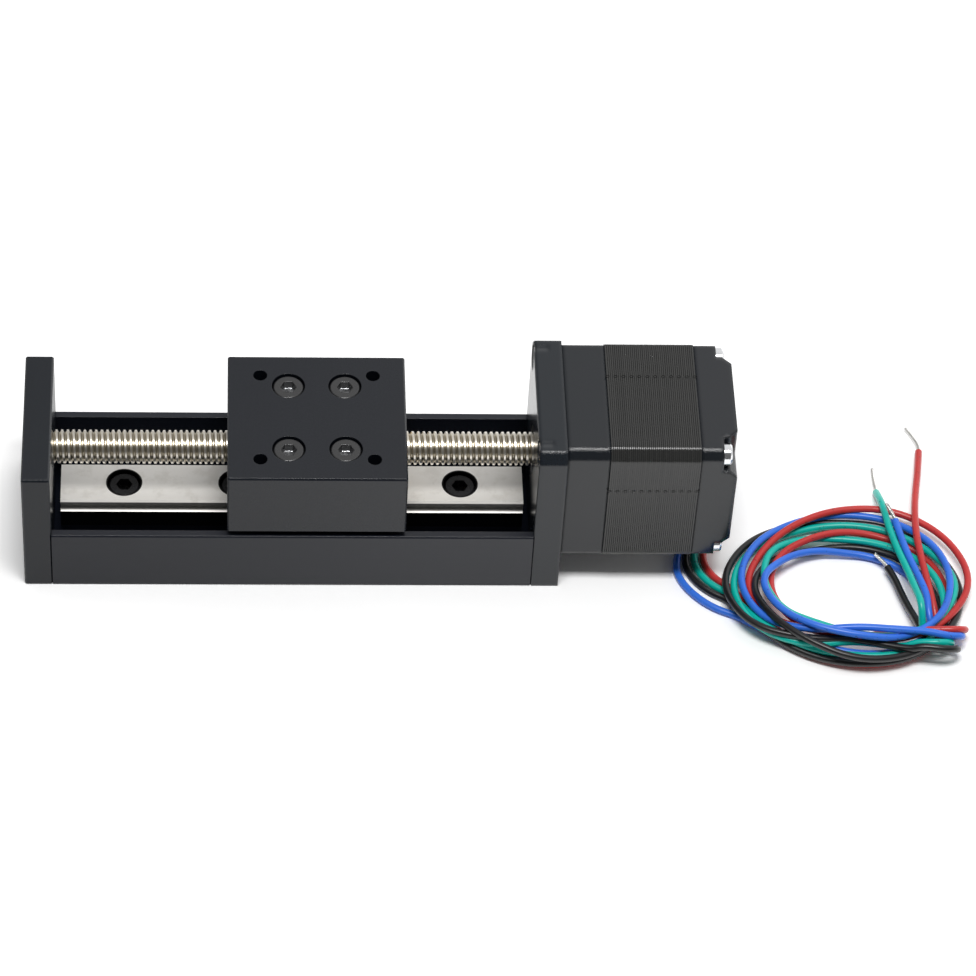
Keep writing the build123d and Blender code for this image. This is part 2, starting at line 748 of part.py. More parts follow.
# ---------------------------------------------------------------- write the pieces
save("base_channel", base_channel())
save("idle_end_plate", idle_end_plate())
save("motor_flange", motor_flange())
save("idle_plate_screws", port_screws(idle_outer_x + port_head_depth, -1))
save("flange_screws", port_screws(motor_face_x - port_head_depth, 1))
save("motor_screws", motor_screws())
save("guide_rail", guide_rail())
save("rail_screws", rail_screws())
save("bearing_block", bearing_block())
save("block_end_cap_left", block_end_cap(-1))
save("block_end_cap_right", block_end_cap(1))
save("block_seal_left", block_end_seal(-1))
save("block_seal_right", block_end_seal(1))
save("carriage_block", carriage_block())
save("carriage_screws", carriage_screws())
save("lead_nut", lead_nut())
save("nut_screws", nut_screws())
save("lead_screw", lead_screw())
save("retaining_clip", retaining_clip())
save("idle_bearing_outer", outer_ring(IDLE_BEARING, idle_bearing_x))
save("idle_bearing_inner", inner_ring(IDLE_BEARING, idle_bearing_x))
save("front_bearing_outer", outer_ring(FRONT_BEARING, front_bearing_x))
save("front_bearing_inner", inner_ring(FRONT_BEARING, front_bearing_x))
save("rear_bearing_outer", outer_ring(REAR_BEARING, rear_bearing_x))
save("rear_bearing_inner", inner_ring(REAR_BEARING, rear_bearing_x))
save("preload_washer", preload_washer())
save("motor_front_bell", motor_front_bell())
save("stator_stack", stator_stack())
save("stator_coils", stator_coils())
save("motor_rear_bell", motor_rear_bell())
save("case_screws", case_screws())
save("rotor_cup_front", rotor_cup(rotor_middle_x - rotor_magnet_length / 2 - rotor_cup_length, 0.5))
save("rotor_magnet", rotor_magnet())
save("rotor_cup_rear", rotor_cup(rotor_middle_x + rotor_magnet_length / 2, 0))
save("lead_grommet", lead_grommet())
for name, exit_x in zip(lead_names, lead_exit_xs):
    exit_point = (exit_x, grommet_centre_y, lead_exit_z)
    way_out = [exit_point, (exit_x, grommet_centre_y, lead_exit_z - lead_drop)]
    save(f"{name}_lead", lead_tube(f"{name}_lead", way_out + lead_routes[name]))
    save(f"{name}_lead_end", lead_tube(f"{name}_lead_end", end_routes[name]))
save("lead_coil", lead_coil())
save("bare_tips", bare_tips())
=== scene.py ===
# %% [markdown]
# # A small linear stage, dressed for the camera
# The solids come from a CAD model. This lesson leaves them where they are and gives each one a finish. It
# models the few pieces whose real form is too fine for a CAD solid: the screw's thread, the motor's
# laminations with their locking marks, and the loose coil of four wires.

import math

import bmesh
import bpy
import numpy as np
from mathutils import Matrix, Vector


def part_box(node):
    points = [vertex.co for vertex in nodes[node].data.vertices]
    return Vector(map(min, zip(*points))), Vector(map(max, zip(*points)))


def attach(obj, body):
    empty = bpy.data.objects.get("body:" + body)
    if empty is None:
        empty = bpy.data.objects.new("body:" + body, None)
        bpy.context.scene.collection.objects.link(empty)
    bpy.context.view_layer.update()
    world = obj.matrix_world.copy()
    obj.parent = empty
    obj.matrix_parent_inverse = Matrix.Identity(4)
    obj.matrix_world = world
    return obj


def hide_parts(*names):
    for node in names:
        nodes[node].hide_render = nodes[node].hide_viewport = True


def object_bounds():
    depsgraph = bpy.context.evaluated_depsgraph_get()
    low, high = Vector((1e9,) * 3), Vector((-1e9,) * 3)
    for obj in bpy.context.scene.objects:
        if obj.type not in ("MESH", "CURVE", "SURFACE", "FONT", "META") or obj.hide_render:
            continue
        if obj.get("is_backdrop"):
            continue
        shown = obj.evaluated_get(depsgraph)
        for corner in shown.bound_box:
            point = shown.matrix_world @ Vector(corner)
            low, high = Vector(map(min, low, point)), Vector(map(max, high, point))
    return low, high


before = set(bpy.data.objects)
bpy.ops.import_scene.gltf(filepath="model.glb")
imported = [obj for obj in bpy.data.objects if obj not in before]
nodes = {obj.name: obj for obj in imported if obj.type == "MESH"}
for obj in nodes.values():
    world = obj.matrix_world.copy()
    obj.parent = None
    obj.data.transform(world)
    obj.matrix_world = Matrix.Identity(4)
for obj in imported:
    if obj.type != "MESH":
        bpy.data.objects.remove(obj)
cad_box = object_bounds()

# %% [markdown]
# ## The camera
# A long lens stands well back and looks down at 48 degrees, so parallel edges stay nearly parallel. A camera
# could be aimed with a Track To constraint, but its three axes are plain vectors, and a matrix made of them
# also takes the slight roll that a hand-held shot has.

# %% Camera
MM = 0.001
CAMERA_AZIMUTH = math.radians(4.966)
CAMERA_ELEVATION = math.radians(48.26)
CAMERA_ROLL = math.radians(3.967)
CAMERA_TARGET = Vector((35.075, -0.507, 10.0)) * MM
CAMERA_DISTANCE = 837.16 * MM
CAMERA_LENS = 172.16
SENSOR_WIDTH = 36.0


def camera_axes(azimuth, elevation, roll):
    """The camera's right, up and view directions, in the stage's own axes."""
    level = math.cos(elevation)
    view = Vector((math.sin(azimuth) * level, math.cos(azimuth) * level, -math.sin(elevation)))
    right = Vector((math.cos(azimuth), -math.sin(azimuth), 0))
    up = right.cross(view)
    rolled_right = right * math.cos(roll) + up * math.sin(roll)
    rolled_up = up * math.cos(roll) - right * math.sin(roll)
    return rolled_right, rolled_up, view


right_axis, up_axis, view_axis = camera_axes(CAMERA_AZIMUTH, CAMERA_ELEVATION, CAMERA_ROLL)
camera_data = bpy.data.cameras.new("stage_camera")
camera_data.sensor_width = SENSOR_WIDTH
camera_data.lens = CAMERA_LENS
camera_data.clip_start = 0.01
camera_data.clip_end = 20.0
camera = bpy.data.objects.new("stage_camera", camera_data)
bpy.context.scene.collection.objects.link(camera)
turn = Matrix((right_axis, up_axis, -view_axis)).transposed().to_4x4()
camera.matrix_world = Matrix.Translation(CAMERA_TARGET - view_axis * CAMERA_DISTANCE) @ turn
bpy.context.scene.camera = camera
print("camera stands at", [round(v, 3) for v in camera.matrix_world.translation])

# %% [markdown]
# ## Four loose wires
# Each lead is one length of soft 1.3 mm wire. It leaves the motor's underside, lies down on the bench, runs
# two and a half times round a loose coil, tucks round the bundle once and ends in a stripped tip. A curve
# with a round bevel is the natural way to draw it, and a NURBS spline bends evenly through its points. The
# coil's points are worked out by a loop from how far out each wire runs, every thirty degrees.

# %% The wires' sizes and routes
WIRE_RADIUS = 0.65
FLOOR = 0.70
WIRE_NAMES = ("blue", "black", "green", "red")
EXIT_XS = {"blue": 71.87, "black": 73.19, "green": 74.51, "red": 75.83}
EXIT_Y = -2.0
EXIT_Z = 5.65
DROP = 1.5

lead_routes = {
    "blue": [(71.4, -3.0, 2.5), (70.3, -5.3, 1.2), (69.4, -8.3, FLOOR), (68.9, -11.9, FLOOR),
             (70.1, -15.3, FLOOR), (72.6, -18.5, FLOOR), (75.6, -20.9, FLOOR), (79.1, -22.4, FLOOR)],
    "black": [(72.8, -3.0, 2.5), (71.7, -5.3, 1.2), (70.9, -8.0, FLOOR), (70.7, -11.0, FLOOR),
              (72.0, -14.1, FLOOR), (74.7, -17.0, FLOOR), (78.2, -18.9, FLOOR)],
    "green": [(74.2, -3.0, 2.5), (73.1, -5.2, 1.2), (72.4, -7.8, FLOOR), (72.3, -10.5, FLOOR),
              (73.6, -13.4, FLOOR), (75.4, -15.5, FLOOR), (77.8, -17.1, FLOOR)],
    "red": [(75.6, -3.0, 2.5), (74.8, -5.1, 1.2), (74.0, -7.5, FLOOR), (74.0, -9.9, FLOOR),
            (74.9, -12.3, FLOOR), (76.3, -14.2, FLOOR), (78.1, -15.4, FLOOR)],
}
end_routes = {
    "blue": [(113.2, -23.6, 3.0), (113.2, -20.0, 3.4), (112.0, -15.8, 2.9), (110.6, -11.3, 4.2),
             (109.6, -7.0, 4.9), (108.9, -3.3, 4.9)],
    "black": [(111.3, -26.2, 2.8), (110.1, -21.8, 2.8), (108.9, -17.7, 1.6), (108.1, -14.4, 1.5),
              (107.0, -11.9, 1.9)],
    "green": [(111.6, -24.4, 2.8), (111.0, -19.4, 3.0), (110.0, -14.0, 2.9), (108.8, -9.6, 4.4),
              (107.8, -5.1, 4.9), (107.2, -0.6, 4.4), (106.9, 3.3, 2.2), (106.8, 6.9, 0.9)],
    "red": [(114.4, -21.9, 3.2), (113.8, -17.6, 4.9), (113.0, -12.2, 5.2), (112.5, -6.4, 5.3),
            (112.8, -0.4, 4.8), (113.6, 5.1, 2.9), (114.7, 11.0, 1.2), (115.6, 17.1, 0.8)],
}
tip_ends = {"blue": (107.4, -0.4, 6.2), "black": (104.8, -9.6, 2.9), "green": (106.6, 12.9, 0.7),
            "red": (113.7, 23.0, 0.7)}

# %% The coil's turns
COIL_MIDDLE = Vector((99.3, -16.6))
STATION_STEP = 30
FIRST_STATION = 210
# A quadratic spline runs inside its points by this share, at thirty degrees between them.
SPLINE_PULL = 0.75 + 0.25 * math.cos(math.radians(STATION_STEP))

# Each wire's distance from the coil's middle, from the lower left round anticlockwise: five stations under
# the bundle, the inner turn, then the outer turn and the last pass over the front.
turn_radii = {
    "blue": [17.6, 14.6, 14.6, 16.0, 17.5,
             14.3, 11.2, 9.1, 8.2, 9.4, 11.6, 15.6, 15.1, 14.2, 14.3, 16.1, 18.0,
             18.3, 18.2, 17.6, 17.0, 16.9, 18.4, 19.3, 17.8, 14.0, 12.3, 14.8],
    "black": [18.3, 17.0, 17.5, 18.8, 20.0,
              15.0, 12.8, 11.0, 10.2, 10.6, 14.3, 17.0, 16.9, 17.0, 18.3, 19.3, 20.2,
              20.6, 19.2, 17.2, 15.9, 17.5, 20.2, 22.3, 20.9, 15.8, 12.5, 18.2],
    "green": [18.0, 16.2, 16.1, 17.9, 18.8,
              16.6, 13.8, 11.7, 11.4, 13.2, 15.4, 14.9, 13.7, 12.0, 13.0, 15.2, 17.8,
              19.8, 17.1, 15.2, 14.8, 15.6, 18.7, 20.7, 19.9, 16.5, 12.8, 16.6],
    "red": [15.8, 15.7, 16.8, 18.2, 19.0,
            18.1, 16.8, 13.9, 12.3, 12.0, 13.5, 13.8, 12.8, 12.3, 13.2, 15.0, 18.5,
            22.2, 21.6, 20.0, 17.0, 15.9, 16.5, 18.1, 16.3, 13.0, 12.6, 13.4],
}
# The tuck: over the bundle at the lower right, then a half turn round its outside and back underneath. Each
# gives the point over the bundle, the turn's rightmost place, its front and back, and the point after it.
TUCK_RADIUS = 2.7
TUCK_STEP = 45
TUCK_BOTTOM = 0.7
TUCK_POINTS = 7
tuck_places = {
    "blue": ((112.2, -30.0, 5.0), 118.7, -30.5, -27.1, (113.9, -26.3, 1.1)),
    "black": ((111.0, -33.0, 5.0), 117.6, -33.5, -30.1, (112.8, -29.2, 1.0)),
    "green": ((110.2, -31.4, 5.2), 116.6, -32.0, -28.6, (111.9, -27.6, 1.1)),
    "red": ((112.4, -28.6, 5.2), 119.4, -29.0, -25.6, (114.8, -24.7, 1.1)),
}


def tuck_points(over, right, front, back, under):
    """One point over the bundle and five round a slanting half turn that ends underneath."""
    width = (back - front) / 2
    height = math.sqrt(TUCK_RADIUS**2 - width**2)
    middle = Vector((right - TUCK_RADIUS, (front + back) / 2, TUCK_BOTTOM + height))
    down = Vector((0, width, -height)) / TUCK_RADIUS
    reach = TUCK_RADIUS / (0.75 + 0.25 * math.cos(math.radians(TUCK_STEP)))
    points = [over]
    for step in range(-2, 3):
        angle = math.radians(step * TUCK_STEP)
        place = middle + (Vector((1, 0, 0)) * math.cos(angle) + down * math.sin(angle)) * reach
        points.append((place.x, place.y, max(place.z, TUCK_BOTTOM)))
    return points + [under]


def coil_points(radii):
    """Points round the coil, one for each station, lying on the floor."""
    points = []
    for step, radius in enumerate(radii):
        angle = math.radians(FIRST_STATION + step * STATION_STEP)
        reach = radius / SPLINE_PULL
        x = COIL_MIDDLE.x + reach * math.cos(angle)
        y = COIL_MIDDLE.y + reach * math.sin(angle)
        points.append((x, y, FLOOR))
    return points


wire_points = {}
for name in WIRE_NAMES:
    exit_point = (EXIT_XS[name], EXIT_Y, EXIT_Z)
    start = [exit_point, (EXIT_XS[name], EXIT_Y, EXIT_Z - DROP)] + lead_routes[name]
    turns = coil_points(turn_radii[name])
    wire_points[name] = start + turns + tuck_points(*tuck_places[name]) + end_routes[name]
    print(name, "wire:", len(wire_points[name]), "control points")

# %% [markdown]
# ## Letting the coil settle
# Eight to twelve strands lie over each other, and none may pass through another. A rope simulation would
# move the routes as well, so only the heights are settled here: wherever two strands come closer than a
# wire's width, the one that was laid later is lifted and the other pressed down, and gravity closes the gaps.
# The half turns of the tuck stay as they were bent.

# %% Settle the heights
WIRE_CLEARANCE = 2.04 * WIRE_RADIUS
SAMPLES_PER_SPAN = 8
SETTLE_ROUNDS = 400
GRAVITY_STEP = 0.05
STIFFNESS = 0.06
SPRING = 0.25
LEAST_HOLD = 2.0

# Which wire lies higher where all four run together: far side and near side of the inner turn, outer turn,
# last pass.
turn_layers = {"blue": (0.1, 0.3, 0.2, 0.4), "black": (0.0, 0.1, 0.0, 0.3),
               "green": (0.3, 0.2, 0.1, 0.1), "red": (0.4, 0.0, 0.3, 0.0)}
coil_storeys = [-1.5] * 5 + [1.5] * 12 + [2.0] * 5 + [-0.5] * 5 + [4.0]
TUCK_STOREYS = [5.0, 5.0, 4.0, 1.0, -2.5, -2.5, -2.5]
LAID_LEAD = -4.0


def spline_basis(count, per_span):
    """How much each control point of an open quadratic spline weighs at each sample."""
    knots = np.concatenate(([0, 0], np.arange(count - 1), [count - 2, count - 2])).astype(float)
    ts = np.linspace(0, count - 2, (count - 2) * per_span + 1)
    ts[-1] -= 1e-9
    weights = ((knots[:-1] <= ts[:, None]) & (ts[:, None] < knots[1:])).astype(float)
    for degree in (1, 2):
        raised = np.zeros((len(ts), weights.shape[1] - 1))
        for i in range(raised.shape[1]):
            left = knots[i + degree] - knots[i]
            right = knots[i + degree + 1] - knots[i + 1]
            if left > 0:
                raised[:, i] += (ts - knots[i]) / left * weights[:, i]
            if right > 0:
                raised[:, i] += (knots[i + degree + 1] - ts) / right * weights[:, i + 1]
        weights = raised
    return weights


def layers_of(name):
    """What lies over what: a number for each control point, higher for what was laid later."""
    leads = [LAID_LEAD - 1] * (2 + len(lead_routes[name]))
    far, near, outer, last = turn_layers[name]
    tints = [0.0] * 5 + [far] * 5 + [near] * 7 + [outer] * 7 + [last] * 4
    turns = [storey + tint for storey, tint in zip(coil_storeys, tints)]
    tuck = [storey + last for storey in TUCK_STOREYS]
    return leads + turns + tuck + [6.0] * len(end_routes[name])


def crossings(near, layers):
    """The sample pairs of every crossing, with the same wire on top all the way through each."""
    waiting = set(zip(*(part.tolist() for part in np.nonzero(near))))
    upper, lower = [], []
    while waiting:
        patch, edge = [], [waiting.pop()]
        while edge:
            i, j = edge.pop()
            patch.append((i, j))
            for other in ((i + di, j + dj) for di in (-2, -1, 0, 1, 2) for dj in (-2, -1, 0, 1, 2)):
                if other in waiting:
                    waiting.remove(other)
                    edge.append(other)
        lead = sum(layers[i] - layers[j] for i, j in patch)
        upper += [i if lead > 0 else j for i, j in patch]
        lower += [j if lead > 0 else i for i, j in patch]
    return np.array(upper), np.array(lower)


def settle(routes):
    """Lifts and lowers the control points until no two strands pass through each other."""
    basis, layers, owner, along = [], [], [], []
    for index, name in enumerate(WIRE_NAMES):
        weights = spline_basis(len(routes[name]), SAMPLES_PER_SPAN)
        basis.append(weights)
        layers.append(weights @ np.array(layers_of(name)))
        owner.append(np.full(len(weights), index))
        along.append(np.arange(len(weights)))
    counts = [len(routes[name]) for name in WIRE_NAMES]
    starts = np.concatenate(([0], np.cumsum(counts)))
    whole = np.zeros((sum(len(b) for b in basis), starts[-1]))
    row = 0
    for index, weights in enumerate(basis):
        whole[row:row + len(weights), starts[index]:starts[index + 1]] = weights
        row += len(weights)
    layers, owner, along = (np.concatenate(part) for part in (layers, owner, along))
    given = np.array([point for name in WIRE_NAMES for point in routes[name]])
    flat = whole @ given[:, :2]
    apart = np.hypot(*(flat[:, None, :] - flat[None, :, :]).transpose(2, 0, 1))
    near = apart < WIRE_CLEARANCE
    further = np.abs(along[:, None] - along[None, :]) > 2 * SAMPLES_PER_SPAN
    near &= (owner[:, None] != owner[None, :]) | further
    near &= (layers[:, None] > LAID_LEAD) | (layers[None, :] > LAID_LEAD)
    upper, lower = crossings(np.triu(near), layers)
    need = np.sqrt(WIRE_CLEARANCE**2 - apart[upper, lower] ** 2)
    free = np.zeros(len(given), bool)
    held = np.zeros(len(given), bool)
    for index, name in enumerate(WIRE_NAMES):
        lead_end = starts[index] + 2 + len(lead_routes[name])
        coil_end = lead_end + len(turn_radii[name])
        free[lead_end:coil_end] = True
        held[coil_end] = True
        held[coil_end + TUCK_POINTS:starts[index + 1] - 1] = True
    heights = given[:, 2].copy()
    control_layers = np.concatenate([layers_of(name) for name in WIRE_NAMES])
    heights[free] += np.maximum(control_layers[free], 0)
    for turn_count in range(SETTLE_ROUNDS):
        ease = 1 - turn_count / SETTLE_ROUNDS
        heights[free] -= GRAVITY_STEP * ease
        heights[held] += (given[held, 2] - heights[held]) * SPRING * ease
        sampled = whole @ heights
        short = np.maximum(need - (sampled[upper] - sampled[lower]), 0) / 2
        push = np.zeros(len(sampled))
        np.maximum.at(push, upper, short)
        down = np.zeros(len(sampled))
        np.maximum.at(down, lower, short)
        push -= down
        moved = np.maximum(whole.T @ (push != 0), LEAST_HOLD)
        change = whole.T @ push / moved
        heights[free | held] += change[free | held]
        evened = heights.copy()
        evened[1:-1] += STIFFNESS * ((heights[:-2] + heights[2:]) / 2 - heights[1:-1])
        heights[free | held] = evened[free | held]
        heights = np.maximum(heights, given[:, 2].min())
    left_over = np.maximum(need - (whole @ heights)[upper] + (whole @ heights)[lower], 0)
    print("settled: share of crossings still over 0.3 mm deep", round(float((left_over > 0.3).mean()), 3))
    result = {}
    for index, name in enumerate(WIRE_NAMES):
        span = slice(starts[index], starts[index + 1])
        result[name] = [(x, y, z) for (x, y), z in zip(given[span, :2], heights[span])]
    return result


settled = settle(wire_points)
for name in WIRE_NAMES:
    print(name, "highest point", round(max(p[2] for p in settled[name][10:]), 1), "mm")

# %% Draw the wires


def new_curve(name, radius, resolution):
    data = bpy.data.curves.new(name, "CURVE")
    data.dimensions = "3D"
    data.bevel_depth = radius * MM
    data.bevel_resolution = resolution
    data.use_fill_caps = True
    curve = bpy.data.objects.new(name, data)
    bpy.context.scene.collection.objects.link(curve)
    return curve


def add_spline(curve, points, steps):
    """One open NURBS spline through millimetre control points."""
    spline = curve.data.splines.new("NURBS")
    spline.points.add(len(points) - 1)
    for target, point in zip(spline.points, points):
        target.co = (point[0] * MM, point[1] * MM, point[2] * MM, 1)
    spline.order_u = 3
    spline.use_endpoint_u = True
    spline.resolution_u = steps
    return spline


def length_of(points):
    """Length in metres of the wire's own smooth line."""
    weights = spline_basis(len(points), SAMPLES_PER_SPAN)
    line = weights @ np.array(points) * MM
    return float(np.linalg.norm(np.diff(line, axis=0), axis=1).sum())


wires = {}
for name in WIRE_NAMES:
    wire = new_curve(f"{name}_wire", WIRE_RADIUS, 5)
    add_spline(wire, settled[name], 8)
    wires[name] = wire
    print(name, "wire is", round(length_of(settled[name]) * 1000), "mm long")

# %% [markdown]
# ## A small language for finishes
# Node graphs written call by call hide what they mean. Here a socket is wrapped so that ordinary arithmetic
# adds the Math nodes, and one method makes every other kind of node. A finish then reads like a recipe:
# a base colour, a mask made from noise, and how the mask changes colour, roughness and relief.

# %% Shader helpers


class Value:
    """A shader socket that can be added, subtracted, multiplied and divided."""

    def __init__(self, graph, socket):
        self.graph = graph
        self.socket = socket

    def __add__(self, other):
        return self.graph.math("ADD", self, other)

    def __radd__(self, other):
        return self.graph.math("ADD", other, self)

    def __sub__(self, other):
        return self.graph.math("SUBTRACT", self, other)

    def __rsub__(self, other):
        return self.graph.math("SUBTRACT", other, self)

    def __mul__(self, other):
        return self.graph.math("MULTIPLY", self, other)

    def __rmul__(self, other):
        return self.graph.math("MULTIPLY", other, self)

    def __truediv__(self, other):
        return self.graph.math("DIVIDE", self, other)

    def __rtruediv__(self, other):
        return self.graph.math("DIVIDE", other, self)


class Graph:
    """A node tree with one way of adding any node, and short names for the usual ones."""

    def __init__(self, tree):
        self.tree = tree

    def put(self, socket, value):
        if isinstance(value, Value):
            self.tree.links.new(value.socket, socket)
        elif value is not None:
            socket.default_value = value

    def node(self, kind, settings=None, inputs=None, output=0):
        """Any node: its settings first, then its sockets' values or links, by name or by number."""
        made = self.tree.nodes.new(kind)
        for name, value in (settings or {}).items():
            setattr(made, name, value)
        for name, value in (inputs or {}).items():
            self.put(made.inputs[name], value)
        return Value(self, made.outputs[output])

    def math(self, operation, *numbers):
        return self.node("ShaderNodeMath", {"operation": operation}, dict(enumerate(numbers)))

    def step(self, value, low, high):
        """A smooth step: 0 below low, 1 above high."""
        inputs = {"Value": value, "From Min": low, "From Max": high}
        return self.node("ShaderNodeMapRange", {"interpolation_type": "SMOOTHSTEP"}, inputs)

    def blend(self, factor, first, second):
        """A mix of two colours."""
        inputs = {0: factor}
        for number, colour in ((6, first), (7, second)):
            inputs[number] = colour if isinstance(colour, Value) else (*colour, 1.0)
        return self.node("ShaderNodeMix", {"data_type": "RGBA"}, inputs, 2)


class Finish(Graph):
    """A material with one Principled shader. Its patterns read the place on the object, in metres."""

    def __init__(self, name, colour, roughness, metallic=0.0, **fixed):
        self.material = bpy.data.materials.new(name)
        self.material.use_nodes = True
        super().__init__(self.material.node_tree)
        self.shader = self.tree.nodes["Principled BSDF"]
        self.set("Base Color", (*colour, 1.0))
        self.set("Roughness", roughness)
        self.set("Metallic", metallic)
        for socket, value in fixed.items():
            self.set(socket.replace("_", " "), value)
        self.place = self.node("ShaderNodeTexCoord", output="Object")

    def set(self, socket, value):
        self.put(self.shader.inputs[socket], value)

    def axis(self, letter):
        """One coordinate of the place on the object."""
        return self.node("ShaderNodeSeparateXYZ", {}, {0: self.place}, letter)

    def stretched(self, x, y, z):
        """The place on the object, with each axis scaled by its own number."""
        return self.node("ShaderNodeMapping", {}, {"Vector": self.place, "Scale": (x, y, z)})

    def noise(self, scale, detail=3.0, roughness=0.5, place=None):
        inputs = {"Vector": place or self.place, "Scale": scale, "Detail": detail, "Roughness": roughness}
        return self.node("ShaderNodeTexNoise", {}, inputs, "Fac")

    def relief(self, height, depth, rounding=None):
        """Fine relief from a height in the range 0 to 1. Rounding softens the edges, as deburring does."""
        edges = None
        if rounding:
            edges = self.node("ShaderNodeBevel", {"samples": 6}, {"Radius": rounding})
        inputs = {"Height": height, "Distance": depth, "Normal": edges}
        self.set("Normal", self.node("ShaderNodeBump", {}, inputs, "Normal"))


def shown_in(finish, *names):
    """Gives CAD nodes a finish."""
    for name in names:
        nodes[name].data.materials.clear()
        nodes[name].data.materials.append(finish.material)


print("helpers ready")

# %% [markdown]
# ## Modelling helpers
# Operators act on whatever is selected, and the imported nodes start out selected. So each step first clears
# the selection, then picks its own faces or edges by where they are.

# %% Selection helpers


def only(obj):
    """Selects one object and makes it the active one."""
    bpy.ops.object.select_all(action="DESELECT")
    obj.select_set(True)
    bpy.context.view_layer.objects.active = obj


def open_mesh(obj, mode):
    """Opens an object's mesh in edit mode with nothing selected."""
    only(obj)
    bpy.ops.object.mode_set(mode="EDIT")
    bpy.ops.mesh.select_mode(type=mode)
    bpy.ops.mesh.select_all(action="DESELECT")
    return bmesh.from_edit_mesh(obj.data)


def select(obj, items):
    """Selects some faces, edges or vertices of the open mesh."""
    bpy.ops.mesh.select_all(action="DESELECT")
    for item in items:
        item.select_set(True)
    mesh = bmesh.from_edit_mesh(obj.data)
    mesh.select_flush_mode()
    bmesh.update_edit_mesh(obj.data)


def close_mesh(obj):
    """Leaves edit mode and moves the object's place into its mesh."""
    bpy.ops.object.mode_set(mode="OBJECT")
    only(obj)
    bpy.ops.object.transform_apply(location=True, rotation=True, scale=True)


def copy_of(name, new_name):
    """A copy of a CAD node with its own mesh, its loose triangles joined up."""
    source = nodes[name]
    copied = bpy.data.objects.new(new_name, source.data.copy())
    bpy.context.scene.collection.objects.link(copied)
    copied.matrix_world = source.matrix_world.copy()
    only(copied)
    bpy.ops.object.transform_apply(location=True, rotation=True, scale=True)
    open_mesh(copied, "VERT")
    bpy.ops.mesh.select_all(action="SELECT")
    bpy.ops.mesh.remove_doubles(threshold=0.000002)
    bpy.ops.object.mode_set(mode="OBJECT")
    copied.data.materials.clear()
    return copied


def cut(obj, x, keep_right):
    """Bisects an object square to the X axis, keeps one side and closes the cut."""
    open_mesh(obj, "VERT")
    bpy.ops.mesh.select_all(action="SELECT")
    bpy.ops.mesh.bisect(plane_co=(x, 0, 0), plane_no=(1, 0, 0), use_fill=True, clear_inner=keep_right,
                        clear_outer=not keep_right, threshold=0.000001)
    bpy.ops.object.mode_set(mode="OBJECT")


print("selection helpers ready")

# %% [markdown]
# ## Bench and light
# The stage stands on a white bench under one oblong lamp that hangs a little in front of it, so the shadows
# fall short and soft. The sky is bright behind and to the right, and dim in front, as in a room with one pale
# wall. Black aluminium shows mostly what it mirrors, so this split gives the tops, fronts and chamfers their
# different tones. The bench's colour in mirrors is painted darker at the left than at the right: a painted
# reflection that shades the black fronts from left to right. The camera sees the bench as bright as it is in
# a well lit shot, but the light it throws back on the stage stays that of plain white paint.

# %% Bench
BENCH_SIZE = 0.8
PAINT = 0.80
SEEN_PAINT = 1.22
PAINTED_REFLECTION_LEFT = 0.72
PAINTED_REFLECTION_RIGHT = 1.36
PAINTED_REFLECTION_SPAN = 0.09
bpy.ops.object.select_all(action="DESELECT")
bpy.ops.mesh.primitive_plane_add(size=BENCH_SIZE)
bench = bpy.context.object
bench.name = "bench"
open_mesh(bench, "EDGE")
bpy.ops.mesh.select_all(action="SELECT")
bpy.ops.mesh.subdivide(number_cuts=3)
close_mesh(bench)
bench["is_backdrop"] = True

white_paint = Finish("bench_white", (PAINT, PAINT, PAINT), 0.85, Specular_IOR_Level=0.0)
eye = white_paint.node("ShaderNodeLightPath", output="Is Camera Ray")
mirrored = white_paint.node("ShaderNodeLightPath", output="Is Glossy Ray")
through = white_paint.node("ShaderNodeLightPath", output="Is Transmission Ray")
mottle = white_paint.noise(9.0, 2.0)
paint = white_paint.blend(mottle, (PAINT, PAINT, PAINT), (PAINT * 0.98,) * 3)
# Painted reflection: in mirrors the bench is darker at the left and brighter at the right.
across = white_paint.step(white_paint.axis("X"), -PAINTED_REFLECTION_SPAN, PAINTED_REFLECTION_SPAN)
painted_reflection = white_paint.blend(across, (PAINTED_REFLECTION_LEFT,) * 3, (PAINTED_REFLECTION_RIGHT,) * 3)
paint = white_paint.blend(mirrored, paint, painted_reflection)
seen = white_paint.math("MAXIMUM", eye, through)
white_paint.set("Base Color", white_paint.blend(seen, paint, (SEEN_PAINT,) * 3))
bench.data.materials.append(white_paint.material)
print("bench", BENCH_SIZE, "m wide")

# %% Sky and lamp
SKY_BEHIND = 0.62
SKY_FRONT = 0.10
SKY_LEFT = 0.66
SKY_RIGHT = 1.55
LAMP_WATTS = 7.6
LAMP_LENGTH = 0.48
LAMP_DEPTH = 0.22
world = bpy.data.worlds.new("studio")
world.use_nodes = True
sky = Graph(world.node_tree)
direction = sky.node("ShaderNodeTexCoord", output="Generated")
towards_right = sky.node("ShaderNodeSeparateXYZ", {}, {0: direction}, "X")
towards_back = sky.node("ShaderNodeSeparateXYZ", {}, {0: direction}, "Y")
back = sky.step(towards_back, -0.55, 0.45) * (SKY_BEHIND - SKY_FRONT) + SKY_FRONT
across = sky.step(towards_right, -0.05, 0.13) * (SKY_RIGHT - SKY_LEFT) + SKY_LEFT
brightness = back * across
eye = sky.node("ShaderNodeLightPath", output="Is Camera Ray")
through = sky.node("ShaderNodeLightPath", output="Is Transmission Ray")
direct = sky.math("MAXIMUM", eye, through)
background = world.node_tree.nodes["Background"]
background.inputs["Color"].default_value = (1.0, 1.0, 1.0, 1.0)
sky.put(background.inputs["Strength"], brightness * (1 - direct) + direct)
bpy.context.scene.world = world
bpy.context.scene.view_settings.view_transform = "Standard"


